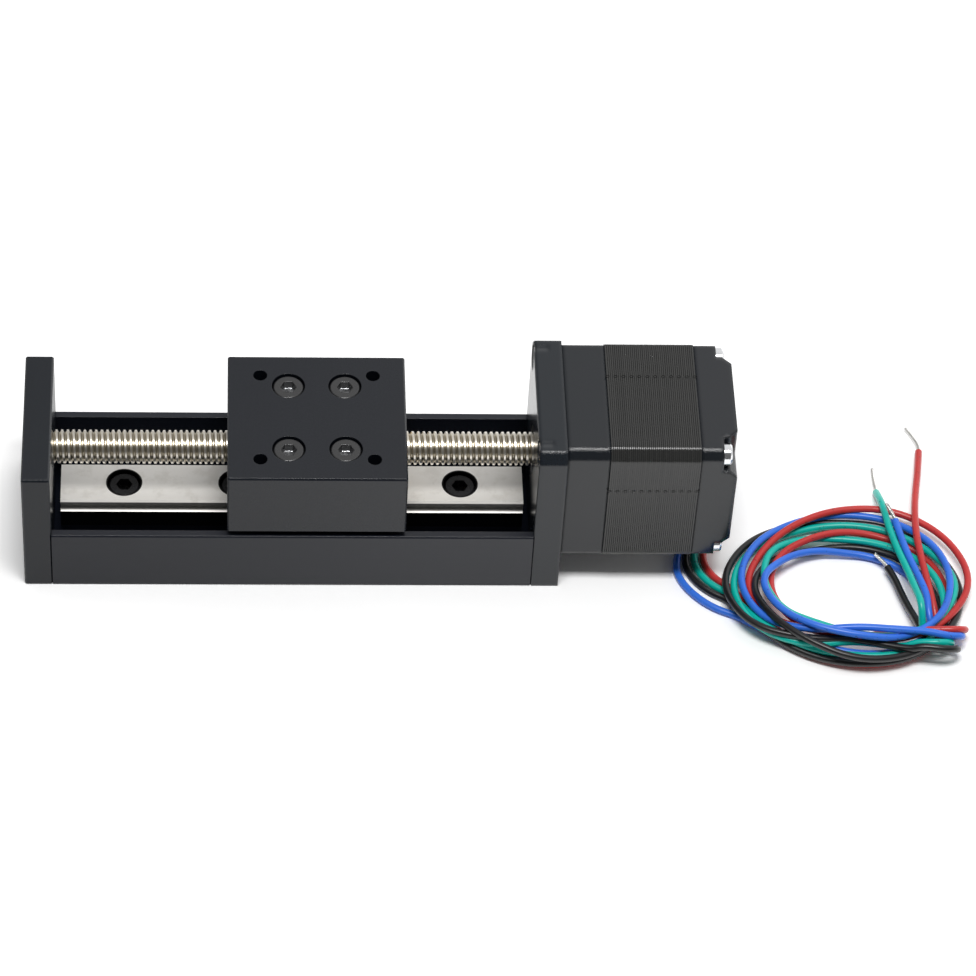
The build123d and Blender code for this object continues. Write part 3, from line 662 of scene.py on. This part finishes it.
def strip_lamp(name, place, aim, watts, length, depth):
    """An oblong area lamp that looks at a point, with its long side level."""
    data = bpy.data.lights.new(name, "AREA")
    data.energy = watts
    data.shape = "RECTANGLE"
    data.size = length
    data.size_y = depth
    lamp = bpy.data.objects.new(name, data)
    lamp.location = place
    lamp.rotation_mode = "QUATERNION"
    lamp.rotation_quaternion = (Vector(aim) - Vector(place)).to_track_quat("-Z", "Y")
    bpy.context.scene.collection.objects.link(lamp)
    return lamp


strip_lamp("overhead", (0.03, -0.22, 1.05), (0.04, 0, 0), LAMP_WATTS, LAMP_LENGTH, LAMP_DEPTH)
print("sky and one lamp")

# %% [markdown]
# ## Black anodised aluminium
# Anodising dyes the oxide skin, so the metal keeps the texture of how it was made and loses its shine. It is
# almost black with a blue cast, and smooth enough to mirror the bench at a low angle. A milled or extruded
# face also shows faint lines along the way it was cut or drawn. Sharp edges are broken by about a tenth of a
# millimetre, and that thin rounded edge is what catches the light.

# %% Anodised parts
EDGE_BREAK = 0.00012


def anodised(name, colour, roughness, line_scale, line_stretch, edge=EDGE_BREAK):
    """Dyed black with a fine grain, and faint lines along one axis."""
    finish = Finish(name, colour, roughness, Specular_IOR_Level=0.5)
    grain = finish.noise(9000.0, 2.0)
    cloud = finish.noise(60.0, 3.0)
    lines = finish.noise(line_scale, 2.0, 0.6, finish.stretched(*line_stretch))
    lighter = tuple(c * 1.4 + 0.001 for c in colour)
    finish.set("Base Color", finish.blend(cloud * 0.5 + lines * 0.5, colour, lighter))
    finish.set("Roughness", cloud * 0.06 + grain * 0.08 + (roughness - 0.07))
    finish.relief(grain * 0.6 + lines * 0.4, 0.000003, edge)
    return finish


extruded_black = anodised("extruded_black", (0.0062, 0.0078, 0.0135), 0.30, 1500.0, (0.02, 1.0, 1.0))
milled_black = anodised("milled_black", (0.0052, 0.0074, 0.0110), 0.25, 1800.0, (1.0, 1.0, 0.03))
table_black = anodised("table_black", (0.0044, 0.0060, 0.0100), 0.27, 1600.0, (1.0, 0.03, 1.0))
TROUGH_FLOOR = 4.0
TROUGH_HALF = 12.0
floor_height = extruded_black.axis("Z") * 1000.0
# Painted shade: low in the trough, between the walls, the finish turns fully metallic, so it mirrors only its
# own near-black colour.
trough_painted_shade = 1 - extruded_black.step(floor_height, TROUGH_FLOOR + 0.1, TROUGH_FLOOR + 3.0)
aside = extruded_black.math("ABSOLUTE", extruded_black.axis("Y") * 1000.0)
trough_painted_shade = trough_painted_shade * (1 - extruded_black.step(aside, TROUGH_HALF + 1.45, TROUGH_HALF + 1.6))
extruded_black.set("Metallic", trough_painted_shade)
shown_in(extruded_black, "base_channel")
shown_in(milled_black, "idle_end_plate")
flange_black = anodised("flange_black", (0.0080, 0.0110, 0.0150), 0.22, 1800.0, (1.0, 1.0, 0.03), 0.0008)
shown_in(flange_black, "motor_flange")
shown_in(table_black, "carriage_block")
print("anodised parts finished")

# %% [markdown]
# ## Screws
# The socket screws are black oxide on steel, with a thin film of oil. A key has worn the floor of each socket
# bright, so the finish turns to bare steel in the thin layer where the socket ends.

# %% Screw finishes


def socket_steel(name, shine=0.6, floor_height=None):
    """Black oxide, worn bright on the socket's floor."""
    finish = Finish(name, (0.012, 0.012, 0.013), 0.28, Specular_IOR_Level=shine)
    oil = finish.noise(700.0, 3.0)
    finish.set("Roughness", oil * 0.16 + 0.2)
    finish.set("Base Color", finish.blend(oil, (0.010, 0.010, 0.011), (0.017, 0.017, 0.018)))
    if floor_height is not None:
        height = finish.axis("Z") * 1000.0
        worn = finish.step(height, floor_height - 0.12, floor_height - 0.06)
        worn = worn * (1 - finish.step(height, floor_height + 0.06, floor_height + 0.12))
        rubbed = worn * finish.step(finish.noise(1500.0, 3.0), 0.25, 0.5)
        finish.set("Metallic", rubbed)
        finish.set("Base Color", finish.blend(rubbed, (0.013, 0.013, 0.014), (0.72, 0.73, 0.75)))
    finish.relief(finish.noise(6000.0, 2.0), 0.000005, 0.00020)
    return finish


TABLE_SOCKET_FLOOR = 26.05
plain_screws = socket_steel("black_screw_steel")
shown_in(plain_screws, "idle_plate_screws", "flange_screws", "motor_screws", "nut_screws")
shown_in(socket_steel("table_screw_steel", 1.0, TABLE_SOCKET_FLOOR), "carriage_screws")
# Painted shade: the rail screws get a duller copy of the black oxide, for the shade deep in their holes.
shown_in(socket_steel("rail_screw_shaded_steel", 0.2), "rail_screws")
print("screws finished")

# %% [markdown]
# ## Bare metal
# Ground, turned and plated metals differ in which way their fine lines run and how warm they look. One recipe
# serves all: two close tones, lines along one axis, and a shallow relief that follows the lines.

# %% Metals


def metal(name, colour, shade, roughness, scale, stretch, depth, edge=None):
    """Bare metal with lines left by grinding or turning."""
    finish = Finish(name, colour, roughness, 1.0)
    lines = finish.noise(scale, 4.0, 0.65, finish.stretched(*stretch))
    cloud = finish.noise(120.0, 3.0)
    finish.set("Base Color", finish.blend(lines * 0.4 + cloud * 0.6, shade, colour))
    finish.set("Roughness", lines * 0.09 + cloud * 0.05 + (roughness - 0.07))
    finish.relief(lines, depth, edge)
    return finish


rail_steel = metal("ground_rail_steel", (0.96, 0.94, 0.90), (0.88, 0.86, 0.81), 0.56, 2600.0,
                   (0.015, 1.0, 1.0), 0.000003)
# Painted shade and reflection: a near-black ring round each hole stands in for the shaded gap round the screw
# heads, and the side below the groove's lip is painted near black for its reflection of the black wall.
RAIL_HOLE_STEP = 0.020
RAIL_HOLE_RIM = 0.0033
RAIL_PAINTED_DARK_BELOW = 0.0078
steps_along = rail_steel.axis("X") / RAIL_HOLE_STEP
off_hole = (rail_steel.math("FRACT", steps_along) - 0.5) * RAIL_HOLE_STEP
off_middle = rail_steel.axis("Y")
distance = rail_steel.math("SQRT", off_hole * off_hole + off_middle * off_middle)
in_ring = 1 - rail_steel.step(distance, RAIL_HOLE_RIM - 0.00012, RAIL_HOLE_RIM)
low_side = 1 - rail_steel.step(rail_steel.axis("Z"), RAIL_PAINTED_DARK_BELOW - 0.0002, RAIL_PAINTED_DARK_BELOW)
painted_dark = rail_steel.math("MAXIMUM", in_ring, low_side)
stain = rail_steel.step(rail_steel.noise(260.0, 4.0, 0.6), 0.50, 0.66)
cleaner = rail_steel.blend(stain * 0.30, (0.97, 0.95, 0.91), (0.70, 0.67, 0.61))
rail_steel.set("Base Color", rail_steel.blend(painted_dark, cleaner, (0.012, 0.012, 0.012)))
shown_in(rail_steel, "guide_rail")
bearing_steel = metal("bearing_steel", (0.66, 0.66, 0.66), (0.52, 0.52, 0.53), 0.25, 1800.0,
                      (1.0, 0.2, 0.2), 0.000002)
shown_in(bearing_steel, "bearing_block", "idle_bearing_outer", "idle_bearing_inner", "front_bearing_outer")
shown_in(bearing_steel, "front_bearing_inner", "rear_bearing_outer", "rear_bearing_inner")
shown_in(bearing_steel, "preload_washer", "retaining_clip")
brass = metal("nut_brass", (0.78, 0.56, 0.26), (0.60, 0.41, 0.17), 0.28, 2000.0, (1.0, 0.15, 0.15), 0.000003)
shown_in(brass, "lead_nut")
rotor_steel = metal("rotor_steel", (0.48, 0.47, 0.46), (0.36, 0.35, 0.34), 0.38, 2200.0,
                    (1.0, 0.1, 0.1), 0.000004)
shown_in(rotor_steel, "rotor_cup_front", "rotor_cup_rear")
zinc = metal("zinc_screw_steel", (0.86, 0.87, 0.88), (0.70, 0.71, 0.73), 0.16, 1500.0,
             (1.0, 1.0, 1.0), 0.000003, 0.00015)
shown_in(zinc, "case_screws")
print("metals finished")

# %% [markdown]
# ## Plastics, rubber, magnet and windings
# These sit in shadow or inside the motor, but an opened view shows them, so each still gets the mark of its
# own making: moulded parts a fine sparkle, the magnet a sintered grain, the windings their wire lay.

# %% Hidden finishes
WIRE_LAY = 0.3


def grained(name, colour, other, roughness, scale, depth, metallic=0.0):
    """A moulded or sintered surface: two close colours and a fine relief."""
    finish = Finish(name, colour, roughness, metallic)
    grain = finish.noise(scale, 4.0)
    finish.set("Base Color", finish.blend(grain, colour, other))
    finish.set("Roughness", grain * 0.12 + (roughness - 0.06))
    finish.relief(grain, depth)
    return finish


cap_plastic = grained("end_cap_plastic", (0.018, 0.019, 0.021), (0.03, 0.031, 0.034), 0.42, 3500.0, 0.00001)
shown_in(cap_plastic, "block_end_cap_left", "block_end_cap_right")
rubber = grained("seal_rubber", (0.012, 0.012, 0.012), (0.022, 0.022, 0.022), 0.62, 3000.0, 0.000015)
shown_in(rubber, "block_seal_left", "block_seal_right", "lead_grommet")
magnet = grained("magnet_grey", (0.22, 0.22, 0.225), (0.15, 0.15, 0.155), 0.5, 5200.0, 0.000008, 0.6)
shown_in(magnet, "rotor_magnet")
copper = Finish("winding_copper", (0.62, 0.26, 0.11), 0.3, 0.85, Coat_Weight=0.4)
lay = copper.math("SINE", copper.axis("Z") * (math.tau / (WIRE_LAY * MM))) * 0.5 + 0.5
copper.set("Base Color", copper.blend(lay, (0.40, 0.14, 0.05), (0.70, 0.31, 0.14)))
copper.relief(lay, 0.00004)
shown_in(copper, "stator_coils")
print("hidden pieces finished")

# %% [markdown]
# ## The motor's black lacquer
# The two end bells are aluminium with a glossy black lacquer. It mirrors the lamp as a thin bright line on
# each rounded corner, and shows a slight orange peel. The laminated stack between them is dipped in the same
# lacquer, but its sheet edges break the mirror up.

# %% Motor finishes
bell_black = Finish("motor_bell_black", (0.0080, 0.0115, 0.0140), 0.20, Specular_IOR_Level=0.5)
peel = bell_black.noise(700.0, 2.0)
tone = bell_black.noise(45.0, 3.0)
bell_black.set("Base Color", bell_black.blend(tone, (0.0080, 0.0110, 0.0140), (0.0120, 0.0135, 0.0180)))
bell_black.set("Roughness", peel * 0.05 + tone * 0.04 + 0.10)
bell_black.relief(peel, 0.000002, 0.0010)
shown_in(bell_black, "motor_front_bell", "motor_rear_bell")

lamination_black = Finish("lamination_black", (0.010, 0.010, 0.0105), 0.3, Specular_IOR_Level=0.5)
sheet_tone = lamination_black.noise(2850.0, 0.0, 0.5, lamination_black.stretched(1.0, 0.002, 0.002))
varnish = lamination_black.noise(1800.0, 3.0)
sheet_colour = lamination_black.blend(sheet_tone, (0.020, 0.0205, 0.0200), (0.040, 0.040, 0.0385))
lamination_black.set("Base Color", sheet_colour)
lamination_black.set("Roughness", varnish * 0.08 + 0.20)
lamination_black.relief(varnish, 0.000002)
print("motor finished")

# %% [markdown]
# ## Finishing the wires
# Every wire rides the frame, since it leaves the motor's fixed end. Its free end is stripped for six
# millimetres, and the tinned strands are twisted together. They are seven fine wires: one straight in the
# middle and six wound round it, drawn as curves that follow the wire's own line onwards. A curve is measured
# with the full radius of its points, so the finished tips are turned into meshes.

# %% Insulation and tips
STRAND_RADIUS = 0.11
STRAND_RING = 0.21
STRAND_PITCH = 3.2
TIP_STEPS = 24
insulation_colours = {"blue": (0.040, 0.21, 0.92), "black": (0.013, 0.013, 0.014),
                      "green": (0.0, 0.58, 0.48), "red": (0.68, 0.045, 0.042)}


def insulation(name, colour):
    """Soft extruded plastic: slightly glossy, with a few dull patches and specks of dust."""
    finish = Finish(f"{name}_insulation", colour, 0.36, Specular_IOR_Level=0.5)
    specks = finish.step(finish.noise(1400.0, 2.0), 0.66, 0.72)
    cloud = finish.noise(160.0, 3.0)
    darker = tuple(c * 0.72 for c in colour)
    dust = tuple(c * 0.45 + 0.01 for c in colour)
    body = finish.blend(cloud, darker, colour)
    finish.set("Base Color", finish.blend(specks, body, dust))
    finish.set("Roughness", cloud * 0.12 + specks * 0.3 + 0.26)
    finish.relief(finish.noise(2500.0, 2.0), 0.000008)
    return finish


tinned = metal("tinned_strand", (0.84, 0.83, 0.80), (0.58, 0.57, 0.55), 0.3, 3000.0,
               (1.0, 1.0, 1.0), 0.000004)


def tip_line(name):
    """The stripped end's centreline in millimetres, on from the wire's last stretch."""
    start = Vector(settled[name][-1])
    before = Vector(settled[name][-2])
    end = Vector(tip_ends[name])
    bend = start + (start - before).normalized() * (end - start).length * 0.4
    line = []
    for step in range(TIP_STEPS + 1):
        t = step / TIP_STEPS
        line.append(start * (1 - t) ** 2 + bend * 2 * t * (1 - t) + end * t**2)
    return line


def twisted_tip(name):
    """Seven tinned strands, six of them wound round the first."""
    line = tip_line(name)
    tip = new_curve(f"{name}_tip", STRAND_RADIUS, 2)
    add_spline(tip, line, 2)
    travelled = 0.0
    stations = []
    for index, point in enumerate(line):
        ahead = line[min(index + 1, TIP_STEPS)] - line[max(index - 1, 0)]
        side = ahead.cross(Vector((0, 0, 1))).normalized()
        rise = side.cross(ahead).normalized()
        travelled += (point - line[max(index - 1, 0)]).length
        stations.append((point, side, rise, travelled))
    for strand in range(6):
        path = []
        for point, side, rise, along in stations:
            angle = math.tau * (strand / 6 + along / STRAND_PITCH)
            path.append(point + (side * math.cos(angle) + rise * math.sin(angle)) * STRAND_RING)
        add_spline(tip, path, 2)
    only(tip)
    bpy.ops.object.convert(target="MESH")
    open_mesh(tip, "VERT")
    bpy.ops.mesh.select_all(action="SELECT")
    bpy.ops.mesh.remove_doubles(threshold=0.000002)
    close_mesh(tip)
    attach(tip, "frame")
    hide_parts("bare_tips")
    tip.data.materials.append(tinned.material)
    return tip


for name in WIRE_NAMES:
    wire = wires[name]
    wire.data.materials.append(insulation(name, insulation_colours[name]).material)
    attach(wire, "frame")
    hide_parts(f"{name}_lead", f"{name}_lead_end", "lead_coil")
    length_of(settled[name])
    twisted_tip(name)
print("four wires with stripped ends")

# %% [markdown]
# ## The lead screw
# The screw is 6 mm over its crests and climbs one millimetre a turn. One tooth of the profile is drawn and
# the Screw modifier winds it round the axis, which is just how a lathe cuts a thread. The plain journals at
# both ends are copied from the CAD shaft. The crests are at a known place, so they meet the nut's thread.

# %% Draw one tooth
SCREW_Z = 20.0
CREST_RADIUS = 3.0
ROOT_RADIUS = 2.50
PITCH = 1.0
CREST_FLAT = 0.34
ROOT_FLAT = 0.14
FIRST_CREST = -41.71
THREAD_START = -43.4
THREAD_END = 46.4
THREAD_STEPS = 40
flank = (PITCH - CREST_FLAT - ROOT_FLAT) / 2
first_root = FIRST_CREST - PITCH * 3 - ROOT_FLAT - flank - CREST_FLAT / 2
bpy.ops.object.select_all(action="DESELECT")
bpy.ops.mesh.primitive_plane_add(size=ROOT_FLAT * MM, location=(0, 0, SCREW_Z * MM))
screw = bpy.context.object
screw.name = "threaded_screw"
mesh = open_mesh(screw, "VERT")
select(screw, [v for v in mesh.verts if v.co.y > 0])
bpy.ops.mesh.delete(type="VERT")
bpy.ops.mesh.select_all(action="SELECT")
lift = ((first_root + ROOT_FLAT / 2) * MM, ROOT_FLAT / 2 * MM, ROOT_RADIUS * MM)
bpy.ops.transform.translate(value=lift)
mesh = bmesh.from_edit_mesh(screw.data)
mesh.verts.ensure_lookup_table()
select(screw, [max(mesh.verts, key=lambda v: v.co.x)])
depth = CREST_RADIUS - ROOT_RADIUS
for move in ((flank, depth), (CREST_FLAT, 0), (flank, -depth)):
    bpy.ops.mesh.extrude_region_move(TRANSFORM_OT_translate={"value": (move[0] * MM, 0, move[1] * MM)})
bpy.ops.object.mode_set(mode="OBJECT")
print("one tooth:", len(screw.data.vertices), "points")

# %% Wind the thread and add the journals
turns = math.ceil((THREAD_END - first_root) / PITCH) + 1
only(screw)
winding = screw.modifiers.new("winding", "SCREW")
winding.axis = "X"
winding.angle = math.tau
winding.screw_offset = PITCH * MM
winding.iterations = turns
winding.steps = THREAD_STEPS
winding.render_steps = THREAD_STEPS
winding.use_merge_vertices = True
winding.merge_threshold = 0.000002
bpy.ops.object.modifier_apply(modifier="winding")
bpy.ops.object.transform_apply(location=True, rotation=True, scale=True)
open_mesh(screw, "VERT")
bpy.ops.mesh.select_all(action="SELECT")
bpy.ops.mesh.remove_doubles(threshold=0.000004)
bpy.ops.object.mode_set(mode="OBJECT")
cut(screw, THREAD_START * MM, keep_right=True)
cut(screw, THREAD_END * MM, keep_right=False)
left_journal = copy_of("lead_screw", "left_journal")
cut(left_journal, THREAD_START * MM, keep_right=False)
right_journal = copy_of("lead_screw", "right_journal")
cut(right_journal, THREAD_END * MM, keep_right=True)
only(screw)
left_journal.select_set(True)
right_journal.select_set(True)
bpy.ops.object.join()
open_mesh(screw, "VERT")
bpy.ops.mesh.select_all(action="SELECT")
bpy.ops.mesh.normals_make_consistent(inside=False)
close_mesh(screw)
bpy.ops.object.shade_smooth_by_angle(angle=math.radians(28))
screw_steel = metal("stainless_screw", (0.78, 0.74, 0.66), (0.60, 0.55, 0.46), 0.30, 2600.0,
                    (1.0, 0.12, 0.12), 0.000003)
# The thread's colour is darker towards its roots: brown below the crests, pale on them.
height = screw_steel.axis("Z") * 1000.0 - SCREW_Z
aside = screw_steel.axis("Y") * 1000.0
radius = screw_steel.math("SQRT", height * height + aside * aside)
crest_share = screw_steel.step(radius, ROOT_RADIUS, CREST_RADIUS - 0.12)
darker_in_roots = screw_steel.blend(crest_share, (0.44, 0.40, 0.32), (0.80, 0.76, 0.68))
screw_steel.set("Base Color", darker_in_roots)
screw.data.materials.append(screw_steel.material)
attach(screw, "screw")
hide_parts("lead_screw")
print("screw:", turns, "turns,", len(screw.data.polygons), "faces")

# %% [markdown]
# ## The laminated stack
# A stepper's stator is a pile of thin stamped sheets. One sheet is sliced from the CAD stack, with all its
# poles and teeth. Its eight outer corners are rounded, its rim is broken with a small bevel, and an Array
# modifier piles up forty-five. A cut leaves triangles with points next to the corners, so its flat faces are
# dissolved before the bevel. Every fourth sheet has a small locking mark on each side, where the press pinned
# the pile together.

# %% One sheet, forty-five times
SHEETS = 45
SHEET_GAP = 0.02
RIM_BREAK = 0.06
RIDGE_ROUND = 0.55
RIDGE_ANGLE_LOW = 0.6
RIDGE_ANGLE_HIGH = 1.0
RIM_REACH = 12.5
stack_low, stack_high = (Vector(corner) * 1000 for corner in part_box("stator_stack"))
sheet_pitch = (stack_high.x - stack_low.x) / SHEETS
stack = copy_of("stator_stack", "laminated_stack")
cut(stack, (stack_low.x + SHEET_GAP / 2) * MM, keep_right=True)
cut(stack, (stack_low.x + sheet_pitch - SHEET_GAP / 2) * MM, keep_right=False)
open_mesh(stack, "VERT")
bpy.ops.mesh.select_all(action="SELECT")
bpy.ops.mesh.dissolve_limited(angle_limit=math.radians(1))
bpy.ops.object.mode_set(mode="OBJECT")
mesh = open_mesh(stack, "EDGE")
ridges = []
for edge in mesh.edges:
    outer = all(max(abs(v.co.y), abs(v.co.z - SCREW_Z * MM)) > RIM_REACH * MM for v in edge.verts)
    level = abs(edge.verts[0].co.x - edge.verts[1].co.x) > sheet_pitch * MM / 2
    if outer and level and edge.is_manifold and RIDGE_ANGLE_LOW < edge.calc_face_angle() < RIDGE_ANGLE_HIGH:
        ridges.append(edge)
print("ridges to round:", len(ridges))
select(stack, ridges)
bpy.ops.mesh.bevel(offset=RIDGE_ROUND * MM, segments=6)
mesh = bmesh.from_edit_mesh(stack.data)
rim = []
for edge in mesh.edges:
    across = all(max(abs(v.co.y), abs(v.co.z - SCREW_Z * MM)) > RIM_REACH * MM for v in edge.verts)
    level = abs(edge.verts[0].co.x - edge.verts[1].co.x) < 0.000001
    flat = any(abs(f.normal.x) > 0.9 for f in edge.link_faces)
    side = any(abs(f.normal.x) < 0.1 for f in edge.link_faces)
    if across and level and flat and side:
        rim.append(edge)
select(stack, rim)
bpy.ops.mesh.bevel(offset=RIM_BREAK * MM, segments=1)
bpy.ops.object.mode_set(mode="OBJECT")
pile = stack.modifiers.new("pile", "ARRAY")
pile.count = SHEETS
pile.use_relative_offset = False
pile.use_constant_offset = True
pile.constant_offset_displace = (sheet_pitch * MM, 0, 0)
only(stack)
bpy.ops.object.modifier_apply(modifier="pile")
bpy.ops.object.shade_flat()
stack.data.materials.append(lamination_black.material)
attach(stack, "frame")
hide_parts("stator_stack")
print("stack:", SHEETS, "sheets of", round(sheet_pitch, 3), "mm,", len(stack.data.polygons), "faces")

# %% Locking marks
MARK_OFFSET = 4.55
MARK_SPACING = 4
MARK_LENGTH = 0.70
MARK_WIDTH = 0.50
MARK_PROUD = 0.08
bpy.ops.object.select_all(action="DESELECT")
bpy.ops.mesh.primitive_cylinder_add(vertices=10, radius=0.5 * MM, depth=2 * MARK_PROUD * MM)
marks = bpy.context.object
marks.name = "stack_locking_marks"
mesh = open_mesh(marks, "FACE")
select(marks, [f for f in mesh.faces if f.normal.z > 0.9])
bpy.ops.mesh.inset(thickness=0.12 * MM, depth=0)
bpy.ops.transform.translate(value=(0, 0, -1.4 * MARK_PROUD * MM))
bpy.ops.mesh.select_all(action="SELECT")
bpy.ops.transform.resize(value=(MARK_LENGTH, MARK_WIDTH, 1))
bpy.ops.object.mode_set(mode="OBJECT")
copies = []
for face in range(4):
    turn = Matrix.Rotation(face * math.pi / 2, 4, "X")
    for sheet in range(0, SHEETS, MARK_SPACING):
        x = stack_low.x + (sheet + 0.5) * sheet_pitch
        y = MARK_OFFSET
        z = (stack_high.z - stack_low.z) / 2
        mark = bpy.data.objects.new("mark", marks.data.copy())
        bpy.context.scene.collection.objects.link(mark)
        place = turn @ Matrix.Translation(Vector((x, y, z)) * MM)
        mark.matrix_world = Matrix.Translation((0, 0, SCREW_Z * MM)) @ place
        copies.append(mark)
only(marks)
bpy.ops.object.delete()
only(copies[0])
for mark in copies:
    mark.select_set(True)
bpy.ops.object.join()
marks = bpy.context.object
marks.name = "stack_locking_marks"
only(marks)
bpy.ops.object.transform_apply(location=True, rotation=True, scale=True)
# Painted shade: the marks are coloured darker than the lacquered sheets round them, for the shade in their
# small dimples.
mark_painted_shade = grained("locking_mark_painted_shade", (0.004, 0.004, 0.004), (0.008, 0.008, 0.008), 0.3, 4000.0,
                     0.000004)
marks.data.materials.append(mark_painted_shade.material)
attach(marks, "frame")
print(len(copies), "locking marks")

# %% [markdown]
# ## The size
# Both boxes, the CAD one and the dressed stage's, are printed side by side. The dressed stage
# may not grow out of its CAD box.

# %% Measure and finish
new_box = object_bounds()
for label, (low, high) in (("cad", cad_box), ("scene", new_box)):
    print(label, "box in mm:", [round((b - a) * 1000, 2) for a, b in zip(low, high)])
